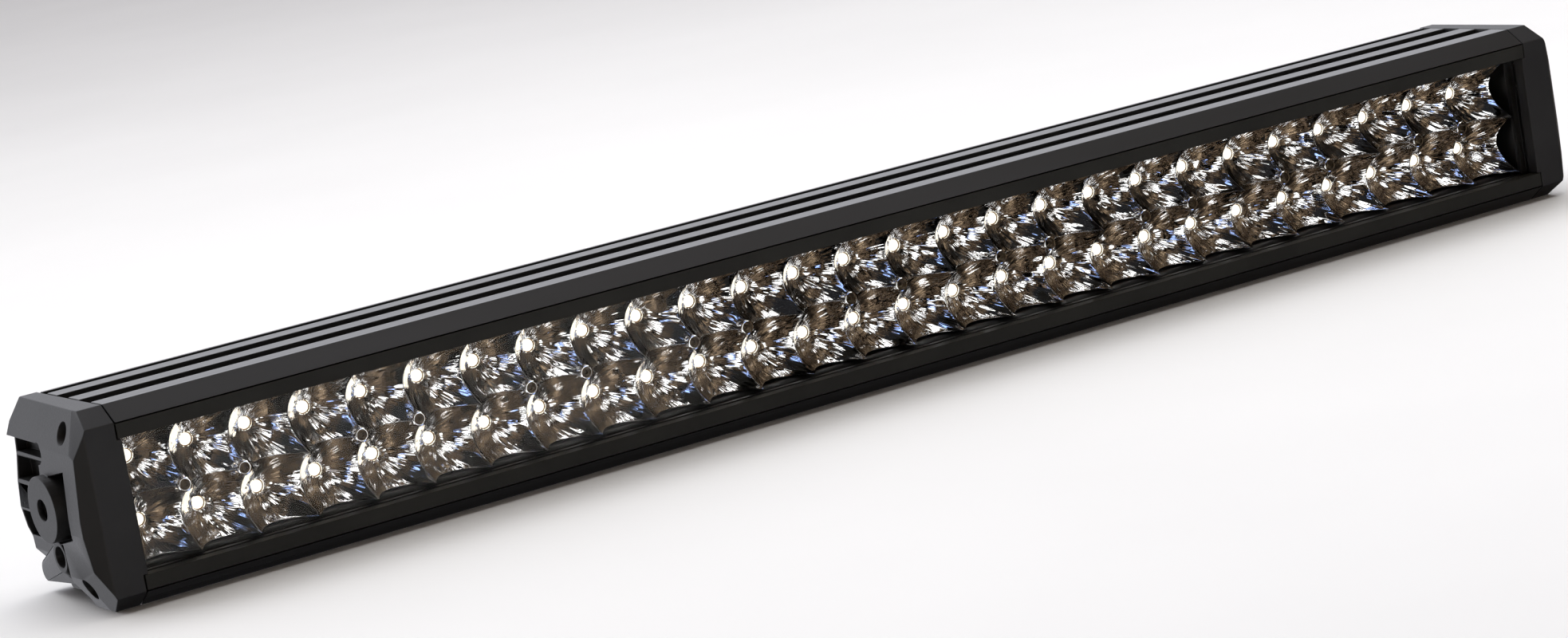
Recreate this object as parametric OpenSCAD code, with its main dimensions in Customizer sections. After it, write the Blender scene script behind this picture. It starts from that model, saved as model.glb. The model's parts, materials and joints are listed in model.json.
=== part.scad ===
// LED light bar: a double row of 54 reflector cups behind one clear lens, in a finned
// aluminium extrusion closed by two cast end caps that carry the mounting bosses.
// Frame: +X along the bar, -Y the way it shines, +Z up, origin at the middle of the bar.
// All sizes in millimetres.

/* [Overall] */
// Length of the extruded housing, without its end caps and gaskets
housing_l = 709; // [709:1:760]
// How far each end cap reaches past its seam, boss included
cap_l = 20; // [20:0.5:24]
// Height of the bar
bar_h = 80; // [80:1:84]
// Depth of the bar, from the front bezel to the rear wall of the caps
bar_d = 80; // [80:1:84]

/* [Front] */
// Height of the flat front, between the two chamfers
front_h = 67; // [66:0.5:68]
// Depth of the long front chamfers
chamfer_d = 9.5; // [8:0.5:10]
// Height of the lens window
window_h = 54; // [53.5:0.5:54.5]
// How far the lens face sits behind the bezel
lens_recess = 6.1; // [5:0.1:6.5]
// Thickness of the lens
lens_t = 3; // [2:0.5:3]

/* [Optics] */
// Distance from one reflector cup to the next
cup_pitch = 26; // [24:0.5:26]
// Number of reflector modules along the bar
module_count = 9; // [3:3:9]
// Focal length of a reflector cup
cup_focal = 3.05; // [3:0.05:3.25]
// Radius of the opening round each emitter
cup_throat_r = 4; // [3.6:0.1:4.4]

/* [Cooling] */
// Distance from one top rib to the next
rib_pitch = 22; // [20:0.5:22]
// Width of a top rib
rib_w = 11; // [9:0.5:12]
// Depth of the grooves between the top ribs
groove_depth = 6; // [3:0.5:6]
// Distance from one rear fin to the next
fin_pitch = 11.5; // [11:0.1:12]
// Thickness of a rear fin
fin_t = 3.5; // [2.5:0.5:5]

/* [Mounting] */
// Radius of the round boss on each end cap
boss_r = 13.5; // [12:0.5:14]
// Radius of the bolt thread in each boss
mount_thread_r = 4; // [3:0.5:4.5]
// Depth of the thread in each boss
mount_thread_l = 12; // [8:1:13]

/* [Hidden] */
$fn = 48;

// Places across the section, from the front to the rear
front_y = -bar_d / 2;
rear_y = bar_d / 2;
lens_front_y = front_y + lens_recess;
lens_back_y = lens_front_y + lens_t;
gasket_t = 1;
ledge_y = lens_back_y + gasket_t;
ledge_t = 2.5;
peak_y = -30;
land_y = -25.3;
web_y = 1;
web_t = 4;
pad_t = 1;
board_t = 1.6;
board_y = web_y - pad_t - board_t;
driver_wall_y = 21.5;
fin_root_y = 25;
fin_tip_y = 38;

// Places up the section
half_h = bar_h / 2;
front_half = front_h / 2;
window_half = window_h / 2;
bezel_gap = 0.5;
bezel_half = front_half - bezel_gap;
chamber_half = 30.4;
lens_half = 30;
ledge_half = 27.4;

// Ends of the bar
gasket_end_t = 0.5;
seam_x = housing_l / 2 + gasket_end_t;
lens_end_x = seam_x - 2;

// Optics
cups_per_module = 3;
module_l = cups_per_module * cup_pitch;
bank_l = module_count * module_l;
module_gap = 0.2;
corner_r = cup_pitch * sqrt(2) / 2;
cup_vertex_y = peak_y + corner_r * corner_r / (4 * cup_focal);
cup_steps = 5;
cup_wall = 1;
post_r = 3.2;
post_hole_r = 2.3;
screw_head_y = -16;
screw_shank_r = 1.3;
emitter_w = 5;
emitter_t = 0.8;
dome_r = 1.9;

// Driver board, and where the supply wires pass the web
driver_l = 180;
driver_h = 30;
driver_x = 190;
driver_y = 8;
standoff_r = 3;
coil_r = 7;
coil_h = 7;
capacitor_r = 4.5;
capacitor_h = 9;
switch_h = 3;
supply_x = 123;
wire_r = 1;
wire_hole_r = 3.2;

// End-cap screws: two behind the front corners, two behind the web
front_screw = [-20, 31];
rear_screw = [5.3, 21];
cap_screw_r = 1.9;
cap_screw_head_r = 3.9;
cap_screw_seat = 5;
screw_channel_r = 4.2;
cap_screw_bite = 14;

// End cap: distances outward are counted from the seam
cap_front_w = 13;
cap_side_w = 19;
cap_edge_w = 11;
cap_taper = 2.75;
taper_y = front_y + 6;
pocket_floor = 6;
pocket_low = -16;
pocket_high = 25;
cap_rear_wall = 1.6;
cap_rib_t = 1.8;
flange_t = 1.5;
insert_r = 6.5;
insert_depth = 2;

// Rear fittings
gland_x = 300;
vent_x = 262;
fitting_well_r = 13;
gland_r = 6;
vent_r = 5;

module along_x(x, l) {
  translate([x, 0, 0]) rotate([90, 0, 90]) linear_extrude(l) children();
}

module rod_x(x, y, z, l, r) {
  translate([x, y, z]) rotate([0, 90, 0]) cylinder(h = l, r = r);
}

module rod_y(x, y, z, l, r) {
  translate([x, y, z]) rotate([-90, 0, 0]) cylinder(h = l, r = r);
}

module both_z() {
  children();
  mirror([0, 0, 1]) children();
}

module box(from, to) {
  translate(from) cube(to - from);
}

// Outline that the extrusion and the cap flanges share, drawn in Y and Z.
module section_outline(rear) {
  polygon([
    [front_y, -front_half], [front_y, front_half],
    [front_y + chamfer_d, half_h], [rear - 7.5, half_h],
    [rear - 0.5, half_h - 9.5], [rear, half_h - 14],
    [rear, 14 - half_h], [rear - 0.5, 9.5 - half_h],
    [rear - 7.5, -half_h], [front_y + chamfer_d, -half_h]
  ]);
}

// Housing: one extrusion with top and bottom ribs, rear fins, a web and two chambers.
module top_grooves() {
  first = front_y + chamfer_d + rib_w;
  for (i = [0:1])
    translate([first + i * rib_pitch, half_h - groove_depth])
      square([rib_pitch - rib_w, groove_depth + 1]);
  translate([first + 2 * rib_pitch - 1, half_h - groove_depth])
    square([5, groove_depth + 1]);
}

module fin_grooves() {
  gap = fin_pitch - fin_t;
  for (i = [-2:2])
    translate([fin_root_y, i * fin_pitch - gap / 2]) square([20, gap]);
}

module chambers() {
  // bezel rebate, lens pocket and the window behind the ledge
  translate([front_y - 1, -front_half]) square([lens_recess + 1 - 0.1, front_h]);
  translate([lens_front_y - 1, -lens_half - 0.2]) square([lens_t + gasket_t + 1, 2 * lens_half + 0.4]);
  translate([ledge_y - 1, -ledge_half]) square([ledge_t + 2, 2 * ledge_half]);
  // optic chamber and driver chamber, with the walls of the screw channels left standing
  difference() {
    union() {
      translate([ledge_y + ledge_t, -chamber_half])
        square([web_y - ledge_y - ledge_t, 2 * chamber_half]);
      translate([web_y + web_t, -chamber_half])
        square([driver_wall_y - web_y - web_t, 2 * chamber_half]);
    }
    screw_channels();
  }
}

module screw_channels() {
  for (at = [front_screw, rear_screw])
    for (side = [-1, 1])
      translate([at[0], side * at[1]]) circle(r = screw_channel_r);
}

module screw_channel_holes() {
  for (at = [front_screw, rear_screw])
    for (side = [-1, 1])
      translate([at[0], side * at[1]]) circle(r = cap_screw_r);
}

module housing_section() {
  difference() {
    section_outline(fin_tip_y);
    chambers();
    top_grooves();
    mirror([0, 1]) top_grooves();
    fin_grooves();
    screw_channel_holes();
  }
}

module housing() {
  color("#3a3a3d")
    difference() {
      along_x(-housing_l / 2, housing_l) housing_section();
      // round wells through the fins, with the threaded holes of gland and vent
      for (at = [[gland_x, gland_r], [vent_x, vent_r]]) {
        rod_y(at[0], fin_root_y, 0, 20, fitting_well_r);
        rod_y(at[0], driver_wall_y - 1, 0, 10, at[1]);
      }
      // reflector screws and driver screws bite in the web
      each_module_post() rod_y(0, web_y - 1, 0, web_t, screw_shank_r);
      each_driver_post() rod_y(0, web_y + 1, 0, web_t, screw_shank_r);
      // the supply wires pass the web
      rod_y(supply_x, web_y - 1, 0, web_t + 2, wire_hole_r);
    }
}

// Bezel strips: they hold the lens along its two long edges.
module bezel_strip() {
  color("#2b2b27")
    along_x(-housing_l / 2, housing_l)
      polygon([
        [front_y, window_half], [front_y, bezel_half],
        [lens_front_y - 0.1, bezel_half], [lens_front_y - 0.1, window_half]
      ]);
}

module upper_bezel() {
  bezel_strip();
}

module lower_bezel() {
  mirror([0, 0, 1]) bezel_strip();
}

module lens() {
  color([0.85, 0.9, 0.95, 0.35])
    box([-lens_end_x, lens_front_y, -lens_half], [lens_end_x, lens_back_y, lens_half]);
}

module lens_gasket() {
  color("#151515")
    difference() {
      box([-lens_end_x, lens_back_y, -lens_half], [lens_end_x, ledge_y, lens_half]);
      box([-lens_end_x + 1.8, lens_back_y - 1, -ledge_half], [lens_end_x - 1.8, ledge_y + 1, ledge_half]);
    }
}

// End caps: drawn for the right end, outward is +X, and mirrored for the left.
// A front-view outline (outward, Z), carried back over the cap's whole depth while it leans in.
module tapered_back(outline) {
  translate([seam_x, taper_y, 0]) rotate([0, 0, cap_taper]) rotate([90, 0, 0])
    translate([0, 0, -bar_d - 10]) linear_extrude(2 * bar_d) polygon(outline);
}

module cap_blank() {
  difference() {
    intersection() {
      along_x(seam_x, cap_l) section_outline(rear_y);
      // the side leans out from the top and bottom edges
      tapered_back([
        [-20, -half_h], [cap_edge_w, -half_h], [17.3, 13 - half_h], [cap_side_w, -8],
        [cap_side_w, -2], [17.3, half_h - 16], [cap_edge_w, half_h], [-20, half_h]
      ]);
      // plan view: a facet between the front panel and the side
      translate([seam_x, 0, -half_h - 1]) linear_extrude(bar_h + 2)
        polygon([
          [0, front_y], [cap_front_w, front_y], [cap_l + 2, front_y + 9],
          [cap_l + 2, rear_y], [0, rear_y]
        ]);
    }
    both_z() corner_cut();
  }
}

// Small facet on each front corner, between the chamfer, the front panel and the side.
module corner_cut() {
  translate([seam_x + 13.6, front_y + 6.7, half_h - 8.1]) rotate([0, -23.2, -4.5])
    translate([0, -40, -30]) cube([30, 80, 60]);
}

// The pocket beside the boss, and behind it up under the hood
module cap_pocket() {
  along_x(seam_x + pocket_floor, cap_l)
    polygon([
      [front_y + 18.6, 16.4], [6, 11], [6, pocket_low], [front_y + 19.6, -10.4]
    ]);
  box(
    [seam_x + pocket_floor, 5.5, pocket_low],
    [seam_x + pocket_floor + cap_l, rear_y - cap_rear_wall, pocket_high]
  );
}

// Low profile that the pocket's ribs, its rear wall and the casting under it share
module low_profile() {
  tapered_back([
    [-1, pocket_high + 1], [13.6, pocket_high + 1], [14.3, 17], [16.1, 6], [16.9, -4],
    [15.7, -12.5], [14.3, -17], [14.1, -22], [10.5, -26.5], [10.5, -half_h - 1], [-1, -half_h - 1]
  ]);
}

module cap_pocket_ribs() {
  intersection() {
    union() {
      for (z = [17.2, 6.3, -4.5])
        box(
          [seam_x + pocket_floor - 1, 5, z - cap_rib_t / 2],
          [seam_x + cap_l, rear_y - 1, z + cap_rib_t / 2]
        );
      // rear wall between the hood and the casting under the pocket
      box(
        [seam_x + pocket_floor - 1, rear_y - cap_rear_wall, pocket_low - 2],
        [seam_x + cap_l, rear_y, pocket_high + 0.5]
      );
    }
    low_profile();
  }
}

// Below the boss the casting steps in to the low profile, and under the rear screw it is cut
// back to a thin flange.
module cap_lower_cut() {
  difference() {
    box([seam_x, 8, -half_h - 1], [seam_x + cap_l + 1, rear_y + 1, -12.5]);
    low_profile();
  }
  translate([seam_x, 0, -half_h - 1]) linear_extrude(half_h - 13)
    polygon([[18.2, -9], [12.5, 0], [12.5, 9], [cap_l + 1, 9], [cap_l + 1, -9]]);
  along_x(seam_x + flange_t, cap_l)
    polygon([
      [-10.5, -half_h - 1], [-10, -36.6], [-4, -31.5], [12, -26.5],
      [rear_y + 1, -26.5], [rear_y + 1, -half_h - 1]
    ]);
  // the pocket's rear side stays open above the low wall
  difference() {
    box([seam_x, rear_y - cap_rear_wall - 1, -12.5], [seam_x + cap_l + 1, rear_y + 1, pocket_high]);
    low_profile();
  }
}

// Lug round the lower rear screw, drawn out to the rear like a horn
module cap_lug() {
  y = rear_screw[0];
  z = -rear_screw[1];
  hull() {
    rod_x(seam_x + pocket_floor - 1, y, z, 9.5, 6.2, $fn = 32);
    rod_x(seam_x + flange_t, y, z - 4, 7.5, 8.5, $fn = 32);
    rod_x(seam_x + flange_t, y + 29.5, z - 10, 8.5, 4.3, $fn = 32);
  }
}

module cap_inner_tongues() {
  // in front of the lens end, level with the bezel, and behind the lens gasket
  box([lens_end_x, front_y, 0.1 - window_half], [seam_x + 1, lens_front_y - 0.1, window_half - 0.1]);
  box([seam_x - 3, ledge_y, 0.4 - ledge_half], [seam_x + 1, ledge_y + ledge_t, ledge_half - 0.4]);
}

module end_cap() {
  color("#4a4b50")
    difference() {
      union() {
        difference() {
          cap_blank();
          cap_pocket();
          cap_lower_cut();
        }
        intersection() {
          cap_blank();
          cap_pocket_ribs();
        }
        cap_lug();
        rod_x(seam_x + pocket_floor - 1, 0, 0, cap_l - pocket_floor + 1, boss_r);
        cap_inner_tongues();
      }
      for (at = [front_screw, rear_screw])
        for (side = [-1, 1]) {
          rod_x(seam_x - 1, at[0], side * at[1], cap_l + 2, cap_screw_r + 0.4);
          rod_x(seam_x + cap_screw_seat, at[0], side * at[1], cap_l, cap_screw_head_r + 0.4);
        }
      // seat of the threaded insert, and the bolt's way in
      rod_x(seam_x + cap_l - insert_depth - mount_thread_l, 0, 0, mount_thread_l, insert_r);
      rod_x(seam_x + cap_l - insert_depth - 1, 0, 0, 5, mount_thread_r + 0.3);
    }
}

module right_end_cap() {
  end_cap();
}

module left_end_cap() {
  mirror([1, 0, 0]) end_cap();
}

// Threaded insert, cast into the boss
module mount_insert() {
  color("#8f9296")
    difference() {
      rod_x(seam_x + cap_l - insert_depth - mount_thread_l, 0, 0, mount_thread_l, insert_r);
      rod_x(seam_x + cap_l - insert_depth - mount_thread_l - 1, 0, 0, mount_thread_l + 2, mount_thread_r);
    }
}

module right_mount_insert() {
  mount_insert();
}

module left_mount_insert() {
  mirror([1, 0, 0]) mount_insert();
}

// Cap gasket: a flat sheet of silicone, a little inside the section's outline
module cap_gasket() {
  color("#101010")
    difference() {
      along_x(housing_l / 2, gasket_end_t)
        polygon([
          [ledge_y, -half_h + 7], [ledge_y, half_h - 7], [fin_root_y - 0.5, half_h - 7],
          [fin_root_y - 0.5, 7 - half_h]
        ]);
      box([seam_x - 4, ledge_y - 1, -ledge_half], [seam_x + 1, web_y - 1, ledge_half]);
      box([seam_x - 4, web_y + web_t + 1, 6 - rear_screw[1]], [seam_x + 1, driver_wall_y, rear_screw[1] - 6]);
      for (at = [front_screw, rear_screw])
        for (side = [-1, 1])
          rod_x(seam_x - 4, at[0], side * at[1], 6, cap_screw_r + 0.2);
    }
}

module right_cap_gasket() {
  cap_gasket();
}

module left_cap_gasket() {
  mirror([1, 0, 0]) cap_gasket();
}

module cap_screws() {
  color("#25262a")
    for (at = [front_screw, rear_screw])
      for (side = [-1, 1])
        difference() {
          union() {
            rod_x(seam_x - cap_screw_bite, at[0], side * at[1], cap_screw_bite + cap_screw_seat, cap_screw_r);
            rod_x(seam_x + cap_screw_seat, at[0], side * at[1], 3.5, cap_screw_head_r);
          }
          translate([seam_x + cap_screw_seat + 1.5, at[0], side * at[1]]) rotate([0, 90, 0])
            cylinder(h = 4, r = 2.2, $fn = 6);
        }
}

module right_cap_screws() {
  cap_screws();
}

module left_cap_screws() {
  mirror([1, 0, 0]) cap_screws();
}

// The form of one reflector cup, from its collar on the board to past its corners, grown by extra.
module cup_form(extra) {
  last_r = corner_r + 1.2;
  collar = board_y - cup_vertex_y;
  function rim(i) = cup_throat_r + (last_r - cup_throat_r) * i / cup_steps;
  function height(r) = r * r / (4 * cup_focal);
  translate([0, cup_vertex_y, 0]) rotate([90, 0, 0])
    rotate_extrude()
      polygon(concat(
        [[0, extra > 0 ? -collar : -4], [cup_throat_r + extra, extra > 0 ? -collar : -4]],
        [for (i = [0:cup_steps]) [rim(i) + extra, height(rim(i)) - extra / 2]],
        [[0, height(last_r) - extra / 2]]
      ));
}

module each_cup() {
  for (i = [0:cups_per_module - 1])
    for (z = [-1, 1])
      translate([(i + 0.5) * cup_pitch, 0, z * cup_pitch / 2]) children();
}

// Reflector module: three by two thin cups in one part, with two screw posts between them
module reflector(index) {
  x0 = -bank_l / 2 + (index - 1) * module_l;
  color("#c9cacc")
    translate([x0, 0, 0])
      difference() {
        union() {
          difference() {
            intersection() {
              box(
                [module_gap / 2, peak_y, module_gap / 2 - cup_pitch],
                [module_l - module_gap / 2, board_y, cup_pitch - module_gap / 2]
              );
              each_cup() cup_form(cup_wall);
            }
            each_cup() cup_form(0);
            for (i = [1:cups_per_module - 1])
              rod_y(i * cup_pitch, peak_y - 1, 0, land_y - peak_y + 1, post_r + 1);
          }
          for (i = [1:cups_per_module - 1])
            rod_y(i * cup_pitch, land_y, 0, board_y - land_y, post_r);
        }
        for (i = [1:cups_per_module - 1]) {
          rod_y(i * cup_pitch, land_y - 1, 0, screw_head_y + 3 - land_y, post_hole_r);
          rod_y(i * cup_pitch, land_y - 1, 0, 30, screw_shank_r + 0.2);
        }
      }
}

// Places of the two screws of each reflector module, on the bar's middle line
module each_module_post() {
  for (m = [0:module_count - 1])
    for (i = [1:cups_per_module - 1])
      translate([-bank_l / 2 + m * module_l + i * cup_pitch, 0, 0]) children();
}

module reflector_screws() {
  color("#7a6a58")
    each_module_post()
      difference() {
        union() {
          rod_y(0, screw_head_y, 0, 2, post_hole_r - 0.1);
          rod_y(0, screw_head_y + 2, 0, web_y + 2 - screw_head_y, screw_shank_r);
        }
        translate([0, screw_head_y - 1, 0]) rotate([-90, 0, 0]) cylinder(h = 2, r = 1.2, $fn = 6);
      }
}

// Three metal-core boards, each behind three reflector modules
module led_board(index) {
  l = bank_l / 3;
  x0 = -bank_l / 2 + (index - 1) * l;
  color("#e6e4dc")
    difference() {
      box([x0 + 0.2, board_y, -cup_pitch], [x0 + l - 0.2, board_y + board_t, cup_pitch]);
      each_module_post() rod_y(0, board_y - 1, 0, 4, screw_shank_r + 0.3);
    }
}

module led_emitters() {
  half_row = cup_pitch / 2;
  count = module_count * cups_per_module;
  color("#f2e3a4")
    for (i = [0:count - 1])
      for (z = [-half_row, half_row])
        translate([-bank_l / 2 + (i + 0.5) * cup_pitch, 0, z]) {
          box([-emitter_w / 2, board_y - emitter_t, -emitter_w / 2], [emitter_w / 2, board_y, emitter_w / 2]);
          rod_y(0, board_y - 2 * emitter_t, 0, 2 * emitter_t, dome_r);
        }
}

module thermal_pads() {
  l = bank_l / 3;
  color("#8fa3ad")
    for (i = [0:2])
      difference() {
        box(
          [-bank_l / 2 + i * l + 1, web_y - pad_t, 1 - cup_pitch],
          [-bank_l / 2 + (i + 1) * l - 1, web_y, cup_pitch - 1]
        );
        each_module_post() rod_y(0, web_y - 3, 0, 4, screw_shank_r + 0.3);
        rod_y(supply_x, web_y - 3, 0, 4, wire_hole_r);
      }
}

// Driver: one board on four posts of the web, with its coils, capacitors and switches
module each_driver_post() {
  for (x = [-1, 1])
    for (z = [-1, 1])
      translate([driver_x + x * (driver_l / 2 - 6), 0, z * (driver_h / 2 - 4)]) children();
}

module driver_board() {
  color("#1f6b3a")
    union() {
      difference() {
        box(
          [driver_x - driver_l / 2, driver_y, -driver_h / 2],
          [driver_x + driver_l / 2, driver_y + board_t, driver_h / 2]
        );
        each_driver_post() rod_y(0, driver_y - 1, 0, 4, screw_shank_r + 0.2);
      }
      // standoffs, soldered to the board
      each_driver_post()
        difference() {
          rod_y(0, web_y + web_t, 0, driver_y - web_y - web_t, standoff_r);
          rod_y(0, web_y + web_t - 1, 0, 8, screw_shank_r + 0.2);
        }
    }
}

module driver_components() {
  top_y = driver_y + board_t;
  color("#44474d") {
    for (i = [0:2]) rod_y(driver_x - 60 + i * 30, top_y, 0, coil_h, coil_r);
    for (i = [0:3]) rod_y(driver_x + 28 + i * 14, top_y, 6, capacitor_h, capacitor_r);
    for (i = [0:2])
      box([driver_x + 26 + i * 16, top_y, -12], [driver_x + 34 + i * 16, top_y + switch_h, -4]);
  }
}

module driver_screws() {
  color("#9a9c9f")
    each_driver_post() {
      rod_y(0, driver_y + board_t, 0, 1.8, 2.4);
      rod_y(0, web_y + 1.5, 0, driver_y + board_t - web_y - 1.5, screw_shank_r);
    }
}

// Two short insulated wires from the driver through the web to the middle of the boards
module supply_wires() {
  color("#b23a2e")
    for (z = [-1.3, 1.3])
      rod_y(supply_x, board_y + board_t, z, driver_y - board_y - board_t, wire_r);
}

// Cable gland in its well at the rear, its lead left out, and the nut inside
module cable_gland() {
  color("#1c1c1e")
    difference() {
      union() {
        translate([gland_x, fin_root_y, 0]) rotate([-90, 0, 0]) cylinder(h = 5, r = 9.5, $fn = 6);
        rod_y(gland_x, fin_root_y, 0, 11, 7.5);
        rod_y(gland_x, driver_wall_y - 7, 0, 12, gland_r);
      }
      rod_y(gland_x, driver_wall_y - 8, 0, 30, 3.5);
    }
}

module gland_nut() {
  color("#8c8e92")
    difference() {
      translate([gland_x, driver_wall_y - 4, 0]) rotate([-90, 0, 0]) cylinder(h = 4, r = 9.5, $fn = 6);
      rod_y(gland_x, driver_wall_y - 5, 0, 6, gland_r);
    }
}

module breather_vent() {
  color("#1c1c1e")
    union() {
      rod_y(vent_x, fin_root_y, 0, 4, 8);
      rod_y(vent_x, driver_wall_y - 2, 0, 6, vent_r);
    }
}

housing();
upper_bezel();
lower_bezel();
lens();
lens_gasket();
left_end_cap();
right_end_cap();
left_cap_gasket();
right_cap_gasket();
left_cap_screws();
right_cap_screws();
left_mount_insert();
right_mount_insert();
for (i = [1:9])
  reflector(i);
reflector_screws();
for (i = [1:3])
  led_board(i);
led_emitters();
thermal_pads();
driver_board();
driver_components();
driver_screws();
supply_wires();
cable_gland();
gland_nut();
breather_vent();
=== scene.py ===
"""LED light bar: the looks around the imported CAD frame. Metres, +X along the bar, -Y the way it shines."""
import json
import math
import random

import bmesh
import bpy
from mathutils import Matrix, Vector


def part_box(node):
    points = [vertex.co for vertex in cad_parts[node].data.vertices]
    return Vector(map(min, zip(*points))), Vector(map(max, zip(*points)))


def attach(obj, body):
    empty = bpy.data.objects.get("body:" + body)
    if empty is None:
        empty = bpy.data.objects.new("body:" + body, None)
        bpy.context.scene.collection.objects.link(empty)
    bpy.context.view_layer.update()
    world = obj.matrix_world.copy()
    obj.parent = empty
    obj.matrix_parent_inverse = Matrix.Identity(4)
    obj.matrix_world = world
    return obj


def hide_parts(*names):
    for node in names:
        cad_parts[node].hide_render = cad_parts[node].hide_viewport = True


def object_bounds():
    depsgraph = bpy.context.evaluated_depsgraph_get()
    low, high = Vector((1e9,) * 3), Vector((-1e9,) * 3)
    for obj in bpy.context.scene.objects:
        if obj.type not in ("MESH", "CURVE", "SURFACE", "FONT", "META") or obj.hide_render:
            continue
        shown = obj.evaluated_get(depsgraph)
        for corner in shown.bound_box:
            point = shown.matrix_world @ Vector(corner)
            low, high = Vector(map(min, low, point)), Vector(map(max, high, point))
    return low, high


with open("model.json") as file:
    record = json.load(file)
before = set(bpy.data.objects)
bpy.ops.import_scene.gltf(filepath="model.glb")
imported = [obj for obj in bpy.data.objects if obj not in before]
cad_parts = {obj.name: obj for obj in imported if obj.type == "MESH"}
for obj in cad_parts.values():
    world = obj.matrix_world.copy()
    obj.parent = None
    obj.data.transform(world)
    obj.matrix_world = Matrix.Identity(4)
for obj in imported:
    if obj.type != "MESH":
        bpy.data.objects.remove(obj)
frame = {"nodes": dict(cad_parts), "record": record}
cad_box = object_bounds()
MM = 0.001

# ---------------------------------------------------------------- frame sizes
# X runs along the bar, the reflectors' peaks are at PEAK_Y and the front of the LED boards at BOARD_Y
reflector_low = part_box("reflector_1")[0]
MODULES = 9
CUPS = 3
PITCH = (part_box("reflector_2")[0][0] - reflector_low[0]) / CUPS
BANK_X = -MODULES * CUPS * PITCH / 2
PEAK_Y = reflector_low[1]
BOARD_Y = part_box("led_board_1")[0][1]
# a cup is a paraboloid from its throat out to the corner of its square cell
THROAT_R = 2.9 * MM
THROAT_Y = BOARD_Y - 2 * MM
CORNER_R = PITCH / math.sqrt(2)
FOCAL = (CORNER_R ** 2 - THROAT_R ** 2) / (THROAT_Y - PEAK_Y) / 4
VERTEX_Y = PEAK_Y + CORNER_R ** 2 / (4 * FOCAL)
MODULE_GAP = 0.1 * MM
SHEET_T = 1.2 * MM
# a post stands at a cup corner, in a flat land, with a hole for the reflector screw
LAND_Y = -25.0 * MM
POST_R = 3.1 * MM
POST_HOLE_R = 2.3 * MM
POST_SEAT_Y = -16 * MM
POST_SIDES = 32
# an emitter is a silicone dome on a square base
DOME_R = 2.5 * MM
EMITTER_BASE_T = 0.75 * MM


# ---------------------------------------------------------------- small helpers
def link(obj):
    bpy.context.scene.collection.objects.link(obj)
    return obj


def mesh_piece(name, build, material, replaced=()):
    """A new piece from build(bmesh), riding on the root body."""
    bm = bmesh.new()
    build(bm)
    mesh = bpy.data.meshes.new(name)
    bm.to_mesh(mesh)
    bm.free()
    mesh.materials.append(material)
    piece = link(bpy.data.objects.new(name, mesh))
    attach(piece, "root")
    if replaced:
        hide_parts(*replaced)
    return piece


def shade(piece, angle=35):
    """Smooth shading, with edges sharper than angle kept sharp."""
    for polygon in piece.data.polygons:
        polygon.use_smooth = True
    piece.data.set_sharp_from_angle(angle=math.radians(angle))


def add_bevel(piece, width, segments=2):
    bevel = piece.modifiers.new("edge_round", "BEVEL")
    bevel.width = width
    bevel.segments = segments
    bevel.limit_method = "ANGLE"
    bevel.angle_limit = math.radians(14)
    bevel.use_clamp_overlap = False
    bevel.harden_normals = True


# ---------------------------------------------------------------- materials
class Nodes:
    """A material's node tree, with its nodes made and linked in one call."""

    def __init__(self, name):
        self.material = bpy.data.materials.new(name)
        self.material.use_nodes = True
        self.tree = self.material.node_tree
        self.tree.nodes.clear()
        self.output = self.tree.nodes.new("ShaderNodeOutputMaterial")

    def add(self, kind, inputs=None, **settings):
        node = self.tree.nodes.new("ShaderNode" + kind)
        for key, value in settings.items():
            setattr(node, key, value)
        for key, value in (inputs or {}).items():
            if isinstance(value, bpy.types.NodeSocket):
                self.tree.links.new(value, node.inputs[key])
            else:
                node.inputs[key].default_value = value
        return node

    def object_point(self, scale=(1, 1, 1)):
        where = self.add("TexCoord").outputs["Object"]
        return self.add("Mapping", {"Vector": where, "Scale": scale}).outputs["Vector"]

    def noise(self, vector, scale, detail=2.0, roughness=0.5):
        inputs = {"Vector": vector, "Scale": scale, "Detail": detail, "Roughness": roughness}
        return self.add("TexNoise", inputs).outputs["Fac"]

    def ramp(self, factor, stops):
        node = self.add("ValToRGB", {"Fac": factor})
        ramp = node.color_ramp
        while len(ramp.elements) < len(stops):
            ramp.elements.new(0.5)
        for element, (place, colour) in zip(ramp.elements, stops):
            element.position = place
            element.color = (*colour, 1)
        return node.outputs["Color"]

    def spread(self, factor, low, high):
        """factor from 0..1 to low..high."""
        return self.add("MapRange", {"Value": factor, "To Min": low, "To Max": high}).outputs["Result"]

    def bump(self, height, distance, strength=1.0, normal=None):
        inputs = {"Height": height, "Distance": distance, "Strength": strength}
        if normal is not None:
            inputs["Normal"] = normal
        return self.add("Bump", inputs).outputs["Normal"]

    def finish(self, shader):
        self.tree.links.new(shader, self.output.inputs["Surface"])
        return self.material


def grey(value):
    return (value, value, value)


def coated_metal(name, dark, light, grain, rough, specular=0.4):
    """Powder coat: fine pebbled grain, faint cloudy colour, roughness that varies with the grain."""
    n = Nodes(name)
    where = n.object_point()
    cloud = n.noise(where, 28, 3)
    pebble = n.noise(where, grain, 2, 0.6)
    colour = n.ramp(cloud, [(0.35, dark), (0.65, light)])
    normal = n.bump(pebble, 0.06 * MM, 0.5)
    shader = n.add("BsdfPrincipled", {
        "Base Color": colour,
        "Roughness": n.spread(pebble, rough - 0.07, rough + 0.07),
        "Normal": normal,
        "Specular IOR Level": specular,
    })
    return n.finish(shader.outputs["BSDF"])


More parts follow.
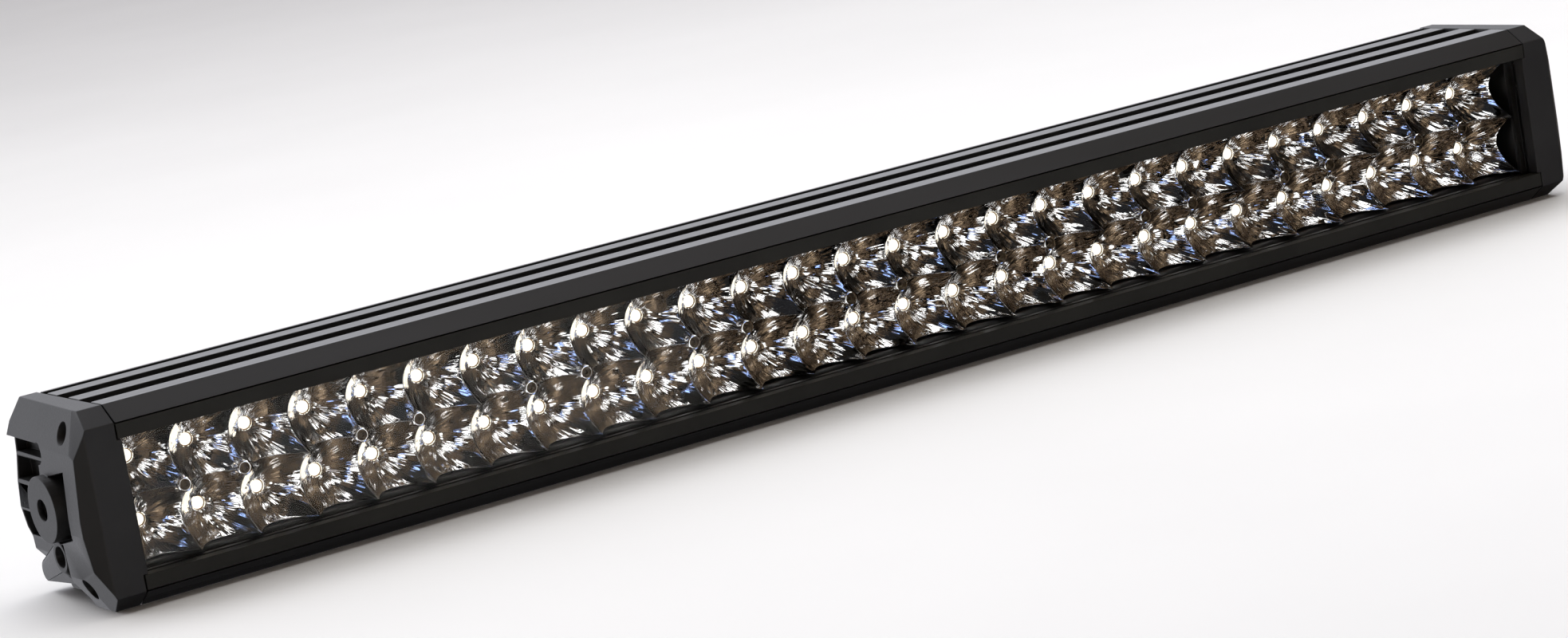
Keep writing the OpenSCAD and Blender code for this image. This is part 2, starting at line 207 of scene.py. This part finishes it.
def drawn_metal(name, dark, light, rough):
    """Anodised extrusion: faint die lines along X, a little cloudiness, satin gloss."""
    n = Nodes(name)
    lines = n.noise(n.object_point((2, 900, 900)), 1, 2, 0.6)
    cloud = n.noise(n.object_point((6, 40, 40)), 1, 3)
    colour = n.ramp(cloud, [(0.3, dark), (0.7, light)])
    normal = n.bump(lines, 0.03 * MM, 0.25)
    shader = n.add("BsdfPrincipled", {
        "Base Color": colour,
        "Roughness": n.spread(lines, rough - 0.06, rough + 0.06),
        "Normal": normal,
        "Specular IOR Level": 0.5,
    })
    return n.finish(shader.outputs["BSDF"])


def moulded(name, dark, light, rough, grain=1500):
    """Rubber or plastic: faint mottling and a fine moulded grain."""
    n = Nodes(name)
    where = n.object_point()
    colour = n.ramp(n.noise(where, 60, 3), [(0.3, dark), (0.7, light)])
    fine = n.noise(where, grain, 2)
    shader = n.add("BsdfPrincipled", {
        "Base Color": colour,
        "Roughness": n.spread(fine, rough - 0.06, rough + 0.06),
        "Normal": n.bump(fine, 0.04 * MM, 0.3),
    })
    return n.finish(shader.outputs["BSDF"])


def bare_steel(name, dark, light, rough):
    """Plain or blackened steel: fine scratches along X and a slightly clouded tone."""
    n = Nodes(name)
    where = n.object_point()
    scratch = n.noise(n.object_point((300, 2500, 2500)), 1, 2)
    colour = n.ramp(n.noise(where, 150, 3), [(0.3, dark), (0.7, light)])
    shader = n.add("BsdfPrincipled", {
        "Base Color": colour,
        "Metallic": 1.0,
        "Roughness": n.spread(scratch, rough - 0.08, rough + 0.08),
        "Normal": n.bump(scratch, 0.02 * MM, 0.3),
    })
    return n.finish(shader.outputs["BSDF"])


def metallised():
    """Reflector: a mirror with fine radial flow streaks, which the streak attribute of the mesh lays out."""
    n = Nodes("reflector_chrome")
    streak = n.add("Attribute", attribute_name="streak").outputs["Vector"]
    fine = n.noise(streak, 0.9, 0)
    dimple = n.noise(n.object_point(), 110, 1)
    normal = n.bump(dimple, 0.25 * MM, 0.25)
    normal = n.bump(fine, 0.16 * MM, 0.5, normal)
    shader = n.add("BsdfPrincipled", {
        "Base Color": n.ramp(fine, [(0.3, (0.80, 0.79, 0.78)), (0.6, (0.94, 0.94, 0.95))]),
        "Metallic": 1.0,
        "Roughness": n.spread(fine, 0.01, 0.03),
        "Normal": normal,
    })
    return n.finish(shader.outputs["BSDF"])


def clear_lens():
    """Coated polycarbonate: lets nearly all through, with a weak Fresnel reflection on its face."""
    n = Nodes("lens_clear")
    haze = n.noise(n.object_point(), 35, 3)
    through = n.add("BsdfTransparent", {"Color": (0.97, 0.98, 0.99, 1)})
    gloss = n.add("BsdfGlossy", {"Color": (1, 1, 1, 1), "Roughness": n.spread(haze, 0.02, 0.06)})
    facing = n.add("Fresnel", {"IOR": 1.12}).outputs["Fac"]
    mix = n.add("MixShader", {"Fac": facing})
    n.tree.links.new(through.outputs["BSDF"], mix.inputs[1])
    n.tree.links.new(gloss.outputs["BSDF"], mix.inputs[2])
    return n.finish(mix.outputs["Shader"])


def phosphor_with_painted_glow():
    """Emitter dome: yellow phosphor under clear silicone, with a weak painted glow in place of light falling
    on it.
    """
    n = Nodes("led_emitter")
    speck = n.noise(n.object_point(), 2500, 2)
    colour = n.ramp(speck, [(0.3, (0.95, 0.80, 0.42)), (0.7, (1.0, 0.90, 0.60))])
    shader = n.add("BsdfPrincipled", {
        "Base Color": colour,
        "Roughness": 0.2,
        # painted glow: this weak emission stands in for light falling on the dome
        "Emission Color": (1.0, 0.96, 0.88, 1),
        "Emission Strength": 1.1,
    })
    return n.finish(shader.outputs["BSDF"])


def solder_mask(name, dark, light):
    """Circuit board: glossy lacquer over a fine glass weave."""
    n = Nodes(name)
    where = n.object_point()
    weave = n.noise(where, 900, 2)
    colour = n.ramp(n.noise(where, 50, 3), [(0.3, dark), (0.7, light)])
    shader = n.add("BsdfPrincipled", {
        "Base Color": colour,
        "Roughness": n.spread(weave, 0.22, 0.36),
        "Normal": n.bump(weave, 0.03 * MM, 0.3),
        "Coat Weight": 0.3,
    })
    return n.finish(shader.outputs["BSDF"])


materials = {
    "housing_coat": drawn_metal("housing_coat", grey(0.015), (0.020, 0.020, 0.021), 0.30),
    "bezel_coat": coated_metal("bezel_coat", (0.018, 0.018, 0.0155), (0.025, 0.025, 0.0215), 1800, 0.5, 0.25),
    "cap_coat": coated_metal("cap_coat", (0.015, 0.015, 0.016), (0.022, 0.022, 0.023), 1300, 0.44),
    "lens_clear": clear_lens(),
    "gasket": moulded("gasket", grey(0.012), grey(0.018), 0.7),
    "dark_screw": bare_steel("dark_screw", grey(0.05), grey(0.09), 0.35),
    "insert_steel": bare_steel("insert_steel", grey(0.34), grey(0.46), 0.32),
    "reflector_chrome": metallised(),
    "reflector_screw": bare_steel("reflector_screw", (0.16, 0.12, 0.08), (0.28, 0.22, 0.15), 0.35),
    "led_board": solder_mask("led_board", (0.70, 0.69, 0.65), (0.80, 0.79, 0.75)),
    "led_emitter": phosphor_with_painted_glow(),
    "emitter_base": moulded("emitter_base", (0.36, 0.22, 0.11), (0.46, 0.30, 0.16), 0.4),
    "thermal_pad": moulded("thermal_pad", (0.30, 0.37, 0.41), (0.37, 0.44, 0.48), 0.8),
    "driver_board": solder_mask("driver_board", (0.015, 0.12, 0.045), (0.02, 0.17, 0.06)),
    "driver_parts": moulded("driver_parts", grey(0.05), (0.07, 0.075, 0.085), 0.45),
    "wire_red": moulded("wire_red", (0.35, 0.02, 0.015), (0.48, 0.035, 0.02), 0.4),
    "gland_black": moulded("gland_black", grey(0.014), grey(0.022), 0.5),
}


def dress(node, slot, edge_round):
    """Gives a CAD node that stays its material, and rounds its edges."""
    piece = frame["nodes"][node]
    piece.data.materials.clear()
    piece.data.materials.append(materials[slot])
    if edge_round:
        weld = piece.modifiers.new("join_faces", "WELD")
        weld.merge_threshold = 0.002 * MM
        flat = piece.modifiers.new("one_face_per_plane", "DECIMATE")
        flat.decimate_type = "DISSOLVE"
        flat.angle_limit = math.radians(0.5)
        add_bevel(piece, edge_round)


# ---------------------------------------------------------------- reflectors
# mesh points round a cup and from its throat to its edge
ANGLES = 128
RINGS = 20
# radial flutes round a cup, whose heights change at each band on the way out
FLUTES = 32
FLUTE_BANDS = 5
FLUTE_DEPTH = 0.26 * MM
# the flutes fade out over these shares of the way at the throat and at the edge
THROAT_FADE = 0.12
EDGE_FADE = 0.10
RIDGE_DIP = 0.12 * MM
LAND_R = POST_R + 1.2 * MM
POST_SLEEVE_R = POST_R - 0.2 * MM
SLEEVE_PULL = 0.55 * MM
# the streak pattern's turns, its shift from cup to cup, and its change with the radius
STREAK_TURN = 16
STREAK_SHIFT = 40
STREAK_RADIAL = 60


def flute_table(seed):
    """Random heights of one cup's radial flutes, for a few bands from the throat to the edge."""
    draw = random.Random(seed)
    return [[draw.uniform(-1, 1) for _ in range(FLUTES)] for _ in range(FLUTE_BANDS)]


def flute_height(table, turn, share):
    """Height at a place round the cup, turn 0..1, and between throat and edge, share 0..1."""
    band = share * (FLUTE_BANDS - 1)
    low = min(int(band), FLUTE_BANDS - 2)
    heights = []
    for row in (table[low], table[low + 1]):
        place = turn * FLUTES
        first = int(place) % FLUTES
        t = place - int(place)
        t = t * t * (3 - 2 * t)
        heights.append(row[first] * (1 - t) + row[(first + 1) % FLUTES] * t)
    height = heights[0] + (heights[1] - heights[0]) * (band - low)
    fade = min(1, share / THROAT_FADE, (1 - share) / EDGE_FADE)
    return height * max(0, fade)


def edge_radius(angle):
    """Distance from a cup's axis to the edge of its square cell."""
    return PITCH / 2 / max(abs(math.cos(angle)), abs(math.sin(angle)))


def paraboloid_y(radius):
    return VERTEX_Y - radius ** 2 / (4 * FOCAL)


def ring_share(ring):
    """Rings crowd towards the edge, where the ridge between two cups is rounded."""
    return 1 - (1 - ring / RINGS) ** 1.25


def cup_point(centre, angle, share, table, posts, limits):
    """A point of the cup's bright face, cut flat round the screw posts and fitted to their sleeves."""
    radius = THROAT_R + (edge_radius(angle) - THROAT_R) * share
    y = paraboloid_y(radius)
    radius += FLUTE_DEPTH * flute_height(table, angle / (2 * math.pi), share)
    x = centre[0] + radius * math.cos(angle)
    z = centre[1] + radius * math.sin(angle)
    if share == 1:
        y += RIDGE_DIP
    for post in posts:
        reach = math.hypot(x - post, z)
        if reach < LAND_R:
            y = max(y, LAND_Y)
        if abs(reach - POST_SLEEVE_R) < SLEEVE_PULL:
            scale = POST_SLEEVE_R / reach
            x = post + (x - post) * scale
            z *= scale
    x = min(max(x, limits[0] + MODULE_GAP), limits[1] - MODULE_GAP)
    z = min(max(z, -PITCH + MODULE_GAP), PITCH - MODULE_GAP)
    return Vector((x, y, z))


def add_cup(bm, streak, centre, seed, posts, limits):
    """One cup as a closed sheet: bright face, collar on the board, back face, and its outer rim."""
    table = flute_table(seed)
    back = Vector((0, SHEET_T, 0))
    collar_y = BOARD_Y - EMITTER_BASE_T - 0.1 * MM
    angles = [2 * math.pi * k / ANGLES for k in range(ANGLES)]
    rows = []
    for ring in range(RINGS, -1, -1):
        rows.append([cup_point(centre, a, ring_share(ring), table, posts, limits) for a in angles])
    for radius in (THROAT_R, THROAT_R + SHEET_T):
        rows.append([
            Vector((centre[0] + radius * math.cos(a), collar_y, centre[1] + radius * math.sin(a)))
            for a in angles
        ])
    for ring in range(3, RINGS + 1):
        rows.append([cup_point(centre, a, ring_share(ring), table, posts, limits) + back for a in angles])
    made = []
    for row in rows:
        verts = []
        for angle, point in zip(angles, row):
            vert = bm.verts.new(point)
            reach = math.hypot(point.x - centre[0], point.z - centre[1])
            vert[streak] = Vector((
                STREAK_TURN * math.cos(angle) + STREAK_SHIFT * seed,
                STREAK_TURN * math.sin(angle),
                STREAK_RADIAL * reach,
            ))
            verts.append(vert)
        made.append(verts)
    for inner, outer in zip(made, made[1:]):
        for i in range(ANGLES):
            j = (i + 1) % ANGLES
            bm.faces.new((inner[i], inner[j], outer[j], outer[i]))
    add_rim(bm, made[-1], made[0], centre, limits)


def add_rim(bm, back_row, front_row, centre, limits):
    """Closes the sheet where the cup is at the outside of its module."""
    for i in range(ANGLES):
        j = (i + 1) % ANGLES
        middle = 2 * math.pi * (i + 0.5) / ANGLES
        across = abs(math.cos(middle)) > abs(math.sin(middle))
        if across:
            wall_x = centre[0] + math.copysign(PITCH / 2, math.cos(middle))
            outside = min(abs(wall_x - limit) for limit in limits) < 1 * MM
        else:
            outside = math.sin(middle) * centre[1] > 0
        if outside:
            bm.faces.new((back_row[i], back_row[j], front_row[j], front_row[i]))


def reflector(index):
    """Module: six cups as one scalloped sheet with thickness, with holes for its two posts."""
    x0 = BANK_X + index * CUPS * PITCH
    limits = (x0, x0 + CUPS * PITCH)
    posts = [x0 + PITCH * i for i in range(1, CUPS)]

    def build(bm):
        streak = bm.verts.layers.float_vector.new("streak")
        for i in range(CUPS):
            for row in (-1, 1):
                seed = index * 7 + i * 2 + (row > 0)
                add_cup(bm, streak, (x0 + (i + 0.5) * PITCH, row * PITCH / 2), seed, posts, limits)
        covered = [
            v for v in bm.verts
            if any(math.hypot(v.co.x - post, v.co.z) < POST_R - 0.4 * MM for post in posts)
        ]
        bmesh.ops.delete(bm, geom=covered, context="VERTS")
        bmesh.ops.remove_doubles(bm, verts=bm.verts, dist=0.02 * MM)
        for post in posts:
            rings = [
                edge for edge in bm.edges
                if edge.is_boundary and abs(edge.verts[0].co.x - post) < PITCH / 2
            ]
            bmesh.ops.bridge_loops(bm, edges=rings)

    piece = mesh_piece(
        f"reflector_module_{index + 1}", build, materials["reflector_chrome"],
        [f"reflector_{index + 1}"],
    )
    shade(piece, 62)
    return piece


def ring_profile(bm, centre, profile, segments=POST_SIDES):
    """Turns profile, a list of (radius, y), round an axis along Y through centre."""
    rows = []
    for radius, y in profile:
        rows.append([
            bm.verts.new((
                centre[0] + radius * math.cos(2 * math.pi * k / segments),
                y,
                centre[1] + radius * math.sin(2 * math.pi * k / segments),
            ))
            for k in range(segments)
        ])
    for a, b in zip(rows, rows[1:]):
        for k in range(segments):
            m = (k + 1) % segments
            bm.faces.new((a[k], b[k], b[m], a[m]))
    return rows


def reflector_posts():
    """Collars round the screw holes of all modules, a hair proud of the lands round them."""
    rim = 0.2 * MM
    foot_y = -10 * MM
    top_y = LAND_Y - 0.02 * MM
    outline = [
        (POST_R, foot_y), (POST_R, LAND_Y + rim), (POST_R - 0.3 * rim, LAND_Y + 0.3 * rim),
        (POST_R - rim, top_y), (POST_HOLE_R + 0.3 * rim, top_y),
        (POST_HOLE_R, LAND_Y + 0.3 * rim), (POST_HOLE_R, POST_SEAT_Y + 1.9 * MM),
        (POST_HOLE_R + 0.1 * MM, foot_y),
    ]

    def build(bm):
        streak = bm.verts.layers.float_vector.new("streak")
        for module in range(MODULES):
            for i in range(1, CUPS):
                x = BANK_X + (module * CUPS + i) * PITCH
                rows = ring_profile(bm, (x, 0), outline)
                for k in range(POST_SIDES):
                    m = (k + 1) % POST_SIDES
                    bm.faces.new((rows[-1][k], rows[0][k], rows[0][m], rows[-1][m]))
        for vert in bm.verts:
            vert[streak] = Vector((0, 0, 0))
        bmesh.ops.recalc_face_normals(bm, faces=bm.faces)
    piece = mesh_piece("reflector_posts", build, materials["reflector_chrome"])
    shade(piece)


# ---------------------------------------------------------------- emitters
def emitter_places():
    """X and Z of every cup's axis."""
    for i in range(MODULES * CUPS):
        for row in (-1, 1):
            yield BANK_X + (i + 0.5) * PITCH, row * PITCH / 2


def emitter_domes():
    """Clear silicone domes, flatter than a half sphere, which nearly fill the throats of the cups."""
    steps = 9
    dome_h = 0.5 * DOME_R
    dome_y = BOARD_Y - 0.8 * MM
    top_lean = math.radians(88)
    profile = [(DOME_R, BOARD_Y - EMITTER_BASE_T)]
    for k in range(steps + 1):
        lean = top_lean * k / steps
        profile.append((DOME_R * math.cos(lean), dome_y - dome_h * math.sin(lean)))

    def build(bm):
        for place in emitter_places():
            rows = ring_profile(bm, place, profile)
            bm.faces.new(rows[-1])
            bm.faces.new(rows[0])
        bmesh.ops.recalc_face_normals(bm, faces=bm.faces)
    # the domes carry the painted glow of the led_emitter material
    piece = mesh_piece("emitter_domes", build, materials["led_emitter"], ["led_emitters"])
    shade(piece, 60)


def emitter_bases():
    """Tan ceramic squares under the domes."""
    half = 3.2 * MM

    def build(bm):
        for x, z in emitter_places():
            middle = Matrix.Translation((x, BOARD_Y - EMITTER_BASE_T / 2, z))
            size = Matrix.Diagonal((2 * half, EMITTER_BASE_T, 2 * half, 1))
            bmesh.ops.create_cube(bm, size=1, matrix=middle @ size)
        bmesh.ops.bevel(bm, geom=bm.edges[:], offset=0.15 * MM, segments=2, affect="EDGES", profile=0.6)
    piece = mesh_piece("emitter_bases", build, materials["emitter_base"])
    shade(piece)


# ---------------------------------------------------------------- rear fittings
def fluted_knob(bm, centre, outline, radius, lobes):
    """A turned cap whose widest rings carry grip flutes: outline is a list of (radius, y)."""
    flute = 0.35 * MM
    steps = lobes * 6
    rows = []
    for ring_r, y in outline:
        depth = flute if ring_r > 0.93 * radius else 0
        row = []
        for k in range(steps):
            angle = 2 * math.pi * k / steps
            reach = ring_r - depth * (0.5 + 0.5 * math.cos(lobes * angle))
            row.append(bm.verts.new((
                centre[0] + reach * math.cos(angle),
                y,
                centre[1] + reach * math.sin(angle),
            )))
        rows.append(row)
    for inner, outer in zip(rows, rows[1:]):
        for k in range(steps):
            m = (k + 1) % steps
            bm.faces.new((inner[k], outer[k], outer[m], inner[m]))
    bm.faces.new(rows[0])
    bm.faces.new(rows[-1])
    bmesh.ops.recalc_face_normals(bm, faces=bm.faces)


def vent_cap():
    """Breather vent: a grip-fluted cap with a raised centre over its threaded stem."""
    low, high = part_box("breather_vent")
    centre = ((low[0] + high[0]) / 2, (low[2] + high[2]) / 2)
    radius = (high[0] - low[0]) / 2
    stem = 5 * MM
    seat = high[1] - 4 * MM
    outline = [
        (stem - 0.4 * MM, low[1]), (stem, low[1] + 0.4 * MM), (stem, seat),
        (radius - 0.3 * MM, seat), (radius, seat + 0.3 * MM), (radius, high[1] - 1.4 * MM),
        (radius - 0.6 * MM, high[1] - 0.8 * MM), (5.2 * MM, high[1] - 0.8 * MM),
        (4.9 * MM, high[1] - 0.7 * MM), (4.6 * MM, high[1] - 0.1 * MM), (4.3 * MM, high[1]),
        (0.8 * MM, high[1]), (0.5 * MM, high[1] - 0.4 * MM),
    ]
    piece = mesh_piece(
        "vent_cap", lambda bm: fluted_knob(bm, centre, outline, radius, 18),
        materials["gland_black"], ["breather_vent"],
    )
    shade(piece, 40)


vent_cap()
for module in range(MODULES):
    reflector(module)
reflector_posts()
emitter_domes()
emitter_bases()

# ---------------------------------------------------------------- dressing the CAD nodes
EDGE_ROUND = {
    "housing": 0.25 * MM,
    "upper_bezel": 0.2 * MM,
    "lower_bezel": 0.2 * MM,
    "left_end_cap": 0.45 * MM,
    "right_end_cap": 0.45 * MM,
    "left_cap_screws": 0.25 * MM,
    "right_cap_screws": 0.25 * MM,
    "cable_gland": 0.3 * MM,
    "gland_nut": 0.2 * MM,
}
REBUILT = {f"reflector_{i + 1}" for i in range(MODULES)} | {"led_emitters", "breather_vent"}

for entry in frame["record"]["subparts"]:
    if entry["node"] not in REBUILT:
        dress(entry["node"], entry["material_slot"], EDGE_ROUND.get(entry["node"], 0))


# ---------------------------------------------------------------- floor, light and camera
FLOOR_HALF = 12
BACKDROP_R = 11


def add_floor():
    """A pale matt floor under the bar, which isn't mirrored in it."""
    n = Nodes("floor_paint")
    tone = n.noise(n.object_point(), 4, 3)
    colour = n.ramp(tone, [(0.3, grey(0.90)), (0.7, grey(0.93))])
    shader = n.add("BsdfPrincipled", {"Base Color": colour, "Roughness": 0.8})
    bm = bmesh.new()
    bmesh.ops.create_grid(bm, x_segments=4, y_segments=4, size=FLOOR_HALF)
    mesh = bpy.data.meshes.new("floor")
    bm.to_mesh(mesh)
    bm.free()
    mesh.materials.append(n.finish(shader.outputs["BSDF"]))
    floor = link(bpy.data.objects.new("floor", mesh))
    floor.location.z = cad_box[0][2]
    floor.visible_glossy = False


def add_backdrop():
    """A pale shell that only the camera sees, so that the studio is plain from every side."""
    n = Nodes("backdrop_paper")
    tone = n.noise(n.object_point(), 1.5, 2)
    glow = n.add("Emission", {"Color": n.ramp(tone, [(0.3, grey(0.97)), (0.7, grey(1.0))])})
    bm = bmesh.new()
    bmesh.ops.create_icosphere(bm, subdivisions=4, radius=BACKDROP_R)
    mesh = bpy.data.meshes.new("backdrop")
    bm.to_mesh(mesh)
    bm.free()
    mesh.materials.append(n.finish(glow.outputs["Emission"]))
    shell = link(bpy.data.objects.new("backdrop", mesh))
    shell.visible_glossy = False
    shell.visible_diffuse = False
    shell.visible_shadow = False


def add_area(name, place, target, size, power):
    """A softbox that lights the floor and the bar but isn't mirrored in them."""
    light = bpy.data.lights.new(name, "AREA")
    light.shape = "RECTANGLE"
    light.size, light.size_y = size
    light.energy = power
    lamp = link(bpy.data.objects.new(name, light))
    lamp.visible_glossy = False
    lamp.location = place
    aim = Vector(target) - Vector(place)
    lamp.rotation_euler = aim.to_track_quat("-Z", "Y").to_euler()
    return lamp


# light of the studio's parts, as linear red, green and blue
BACKDROP = (1.15, 1.16, 1.24)
DARK_FLOOR = (0.02, 0.02, 0.021)
WHITE_BOX = (3.2, 3.1, 2.95)
BLUE_GLOW = (0.9, 1.25, 2.3)
# azimuth from straight in front towards +X, elevation, half-size (degrees) and light of each patch
STUDIO_PATCHES = [
    (14, 43, 5, WHITE_BOX), (30, 27, 6, WHITE_BOX), (35, 9, 5, WHITE_BOX),
    (25, -10, 4, WHITE_BOX), (3, -18, 6, WHITE_BOX), (-14, -8, 4, WHITE_BOX),
    (-50, -6, 7, WHITE_BOX), (-43, -27, 6, WHITE_BOX),
    (27, 1, 4, BLUE_GLOW), (36, -30, 5, BLUE_GLOW),
]
# azimuth, elevation and half-size of the patches of grained wood, in degrees
WOOD_PATCHES = [(-38, 4, 6), (-12, 18, 7)]


def add_world():
    """Studio round the bar: white behind, dark below, and warm clutter and softboxes in front."""
    world = bpy.data.worlds.new("studio")
    world.use_nodes = True
    tree = world.node_tree
    tree.nodes.clear()
    where = tree.nodes.new("ShaderNodeTexCoord").outputs["Generated"]

    def blend(lower, upper, factor):
        """Mixes two colours, each a tuple or a socket, by a factor socket."""
        mix = tree.nodes.new("ShaderNodeMix")
        mix.data_type = "RGBA"
        tree.links.new(factor, mix.inputs["Factor"])
        for value, socket in ((lower, mix.inputs["A"]), (upper, mix.inputs["B"])):
            if isinstance(value, tuple):
                socket.default_value = (*value, 1)
            else:
                tree.links.new(value, socket)
        return mix.outputs["Result"]

    def toward(direction, start, end):
        """0 away from a direction, 1 near it: start and end are degrees off the direction."""
        dot = tree.nodes.new("ShaderNodeVectorMath")
        dot.operation = "DOT_PRODUCT"
        tree.links.new(where, dot.inputs[0])
        dot.inputs[1].default_value = Vector(direction).normalized()
        fade = tree.nodes.new("ShaderNodeMapRange")
        fade.interpolation_type = "SMOOTHSTEP"
        tree.links.new(dot.outputs["Value"], fade.inputs["Value"])
        fade.inputs["From Min"].default_value = math.cos(math.radians(start))
        fade.inputs["From Max"].default_value = math.cos(math.radians(end))
        return fade.outputs["Result"]

    def speckle(scale, stops):
        """Noise over the directions, coloured by (place, colour) stops."""
        clutter = tree.nodes.new("ShaderNodeTexNoise")
        tree.links.new(where, clutter.inputs["Vector"])
        clutter.inputs["Scale"].default_value = scale
        ramp = tree.nodes.new("ShaderNodeValToRGB")
        tree.links.new(clutter.outputs["Fac"], ramp.inputs["Fac"])
        for element, (place, colour) in zip(ramp.color_ramp.elements, stops):
            element.position = place
            element.color = (*colour, 1)
        return ramp.outputs["Color"]

    def patch(colour, azimuth, elevation, half_size, light):
        """colour with a round soft-edged patch of light laid over it."""
        out = math.cos(math.radians(elevation))
        direction = (
            out * math.sin(math.radians(azimuth)),
            -out * math.cos(math.radians(azimuth)),
            math.sin(math.radians(elevation)),
        )
        return blend(colour, light, toward(direction, half_size + 1, half_size - 1))

    room = speckle(10, [(0.49, (0.002, 0.002, 0.002)), (0.58, (0.24, 0.16, 0.098))])
    wood = speckle(45, [(0.40, (0.03, 0.018, 0.01)), (0.64, (1.05, 0.74, 0.45))])
    colour = blend(room, DARK_FLOOR, toward((0, 0, -1), 66, 50))
    colour = blend(colour, BACKDROP, toward((0, 1, 0.35), 64, 52))
    for azimuth, elevation, half_size in WOOD_PATCHES:
        colour = patch(colour, azimuth, elevation, half_size, wood)
    for azimuth, elevation, half_size, light in STUDIO_PATCHES:
        colour = patch(colour, azimuth, elevation, half_size, light)

    background = tree.nodes.new("ShaderNodeBackground")
    output = tree.nodes.new("ShaderNodeOutputWorld")
    tree.links.new(colour, background.inputs["Color"])
    tree.links.new(background.outputs["Background"], output.inputs["Surface"])
    bpy.context.scene.world = world


def add_camera():
    """Left of the bar, in front and above, turned so that the bar climbs to the right."""
    azimuth = math.radians(30.352)
    pitch = math.radians(-10.1665)
    roll = math.radians(-9.7013)
    forward = Vector((
        math.sin(azimuth) * math.cos(pitch),
        math.cos(azimuth) * math.cos(pitch),
        math.sin(pitch),
    ))
    level = forward.cross(Vector((0, 0, 1))).normalized()
    upright = level.cross(forward)
    right = math.cos(roll) * level + math.sin(roll) * upright
    up = right.cross(forward)
    data = bpy.data.cameras.new("camera")
    data.sensor_width = 36
    data.lens = 106.28
    data.clip_end = 60
    camera = link(bpy.data.objects.new("camera", data))
    place = Vector((-1009.68, -1669.30, 340.98)) * MM
    camera.matrix_world = Matrix((
        (right.x, up.x, -forward.x, place.x),
        (right.y, up.y, -forward.y, place.y),
        (right.z, up.z, -forward.z, place.z),
        (0, 0, 0, 1),
    ))
    bpy.context.scene.camera = camera


add_floor()
add_backdrop()
add_world()
add_camera()
add_area("top_softbox", (0.1, 0.3, 1.9), (0, 0, 0), (3.2, 2.0), 42)
bpy.context.scene.view_settings.view_transform = "Standard"
